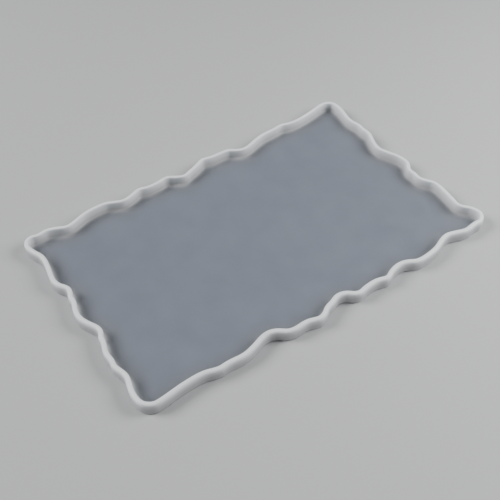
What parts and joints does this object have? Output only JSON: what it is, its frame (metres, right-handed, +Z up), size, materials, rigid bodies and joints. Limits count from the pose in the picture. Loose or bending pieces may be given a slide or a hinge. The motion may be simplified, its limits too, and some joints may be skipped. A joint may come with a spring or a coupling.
{
  "type": "resin casting mould",
  "caption": "Large shallow one-piece silicone mould with a wavy wall round a flat floor, for casting a resin tray or board.",
  "frame": {"origin": "on the underside, in the middle of the mould's length and width", "axes": "+X along the length, +Y along the width towards the rear wall, +Z up out of the open cavity"},
  "size_m": [0.39, 0.25, 0.013],
  "materials": {
    "floor_silicone": "satin milky translucent silicone, thin sheet over a dark table",
    "wall_silicone": "satin milky translucent silicone"
  },
  "bodies": {
    "root": {"casting_floor": "floor_silicone", "front_wall": "wall_silicone", "right_wall": "wall_silicone", "rear_wall": "wall_silicone", "left_wall": "wall_silicone"}
  },
  "joints": []
}
